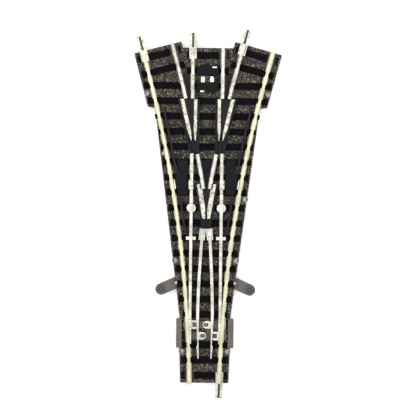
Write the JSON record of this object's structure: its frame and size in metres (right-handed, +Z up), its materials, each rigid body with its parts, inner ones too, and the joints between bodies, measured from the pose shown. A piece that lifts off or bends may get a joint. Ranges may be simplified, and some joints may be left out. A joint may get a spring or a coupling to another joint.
{
  "type": "model turnout switch",
  "caption": "Three-way model railway turnout on ballasted roadbed, with hand levers, throw bars, hinged switch blades, plastic frogs and rail joiners.",
  "frame": {"origin": "centre of the bounding box in plan, at the underside of the base plate", "axes": "+Z up, +Y from the single toe end to the three heel ends, +X to the right seen from above"},
  "size_m": [0.0488, 0.1224, 0.0061],
  "materials": {
    "ballast": "speckled brown-grey moulded roadbed",
    "base": "smooth dark moulded base plate",
    "screw": "plain steel",
    "sleeper": "near-black moulded sleepers, faint grain",
    "rail": "drawn nickel silver, warm bright",
    "rail_inner": "drawn nickel silver, bright",
    "frog": "dark grey moulded plastic",
    "check": "black moulded plastic",
    "infill": "smooth dark plastic panels",
    "joiner": "folded nickel silver strip",
    "drive": "grey-brown plastic",
    "link": "stamped metal",
    "tab": "bright stamped metal",
    "lever": "warm grey moulded plastic"
  },
  "bodies": {
    "base": {"ballast_bed": "ballast", "base_plate": "base", "base_screws": "screw", "sleeper_grid": "sleeper", "stock_rail_left": "rail", "stock_rail_right": "rail", "closure_rail_left": "rail_inner", "closure_rail_right": "rail_inner", "inner_closure_left": "rail_inner", "inner_closure_right": "rail_inner", "heel_rail_left": "rail_inner", "heel_rail_right": "rail_inner", "branch_rail_left": "rail_inner", "branch_rail_right": "rail_inner", "centre_frog": "frog", "left_frog": "frog", "right_frog": "frog", "centre_flangeways": "tab", "left_flangeways": "tab", "right_flangeways": "tab", "check_front_left": "check", "check_front_right": "check", "check_rear_left": "check", "check_rear_right": "check", "infill_left": "infill", "infill_right": "infill", "infill_centre": "infill", "crotch_infill": "infill", "contact_box": "infill", "contact_tabs": "tab", "jumper_clips": "tab", "heel_sleeves": "tab", "heel_rivets": "tab", "side_cover_left": "drive", "side_cover_right": "drive", "lever_pins": "tab"},
    "left_lever": {"lever_left": "lever"},
    "right_lever": {"lever_right": "lever"},
    "left_throw": {"throw_bar_left": "drive", "drive_link_left": "link"},
    "right_throw": {"throw_bar_right": "drive", "drive_link_right": "link"},
    "left_outer_blade": {"outer_blade_left": "rail_inner", "outer_tabs_left": "tab"},
    "right_outer_blade": {"outer_blade_right": "rail_inner", "outer_tabs_right": "tab"},
    "left_inner_blade": {"inner_blade_left": "rail_inner", "inner_tab_left": "tab"},
    "right_inner_blade": {"inner_blade_right": "rail_inner", "inner_tab_right": "tab"},
    "toe_joiner": {"joiner_toe": "joiner"},
    "heel_joiner": {"joiner_heel": "joiner"},
    "left_branch_joiner": {"joiner_branch_left": "joiner"},
    "right_branch_joiner": {"joiner_branch_right": "joiner"}
  },
  "joints": [
    {"name": "lever_left_swing", "type": "hinge", "parent": "base", "child": "left_lever", "pos_m": [-0.0097, -0.02311, 0.0013], "axis": [0, 0, 1], "range_deg": [-48.01, 0]},
    {"name": "lever_right_swing", "type": "hinge", "parent": "base", "child": "right_lever", "pos_m": [0.0097, -0.02311, 0.0013], "axis": [0, 0, 1], "range_deg": [0, 48.01]},
    {"name": "throw_left_slide", "type": "slide", "parent": "base", "child": "left_throw", "axis": [1, 0, 0], "range_m": [0, 0.00172]},
    {"name": "throw_right_slide", "type": "slide", "parent": "base", "child": "right_throw", "axis": [1, 0, 0], "range_m": [-0.00193, 0]},
    {"name": "outer_left_swing", "type": "hinge", "parent": "base", "child": "left_outer_blade", "pos_m": [-0.00498, 0.00169, 0.0046], "axis": [0, 0, 1], "range_deg": [0, 2.38]},
    {"name": "outer_right_swing", "type": "hinge", "parent": "base", "child": "right_outer_blade", "pos_m": [0.00498, 0.00169, 0.0046], "axis": [0, 0, 1], "range_deg": [-2.38, 0]},
    {"name": "inner_left_swing", "type": "hinge", "parent": "base", "child": "left_inner_blade", "pos_m": [-0.00121, -0.00701, 0.005], "axis": [0, 0, 1], "range_deg": [-3.3, 0]},
    {"name": "inner_right_swing", "type": "hinge", "parent": "base", "child": "right_inner_blade", "pos_m": [0.00121, -0.00701, 0.005], "axis": [0, 0, 1], "range_deg": [0, 3.3]},
    {"name": "joiner_toe_slide", "type": "slide", "parent": "base", "child": "toe_joiner", "axis": [0.027, 0.9996, 0], "range_m": [-0.0012, 0.0022]},
    {"name": "joiner_heel_slide", "type": "slide", "parent": "base", "child": "heel_joiner", "axis": [0, -1, 0], "range_m": [-0.0012, 0.0022]},
    {"name": "joiner_branch_left_slide", "type": "slide", "parent": "base", "child": "left_branch_joiner", "axis": [0.2588, -0.9659, 0], "range_m": [-0.0012, 0.0022]},
    {"name": "joiner_branch_right_slide", "type": "slide", "parent": "base", "child": "right_branch_joiner", "axis": [-0.2588, -0.9659, 0], "range_m": [-0.0012, 0.0022]}
  ],
  "couplings": [
    {"joint": "lever_left_swing", "follows": "throw_left_slide", "rad_per_m": -487.07},
    {"joint": "outer_left_swing", "follows": "throw_left_slide", "rad_per_m": 24.128},
    {"joint": "inner_right_swing", "follows": "throw_left_slide", "rad_per_m": 33.435},
    {"joint": "lever_right_swing", "follows": "throw_right_slide", "rad_per_m": -434.07},
    {"joint": "outer_right_swing", "follows": "throw_right_slide", "rad_per_m": 21.503},
    {"joint": "inner_left_swing", "follows": "throw_right_slide", "rad_per_m": 29.797}
  ]
}
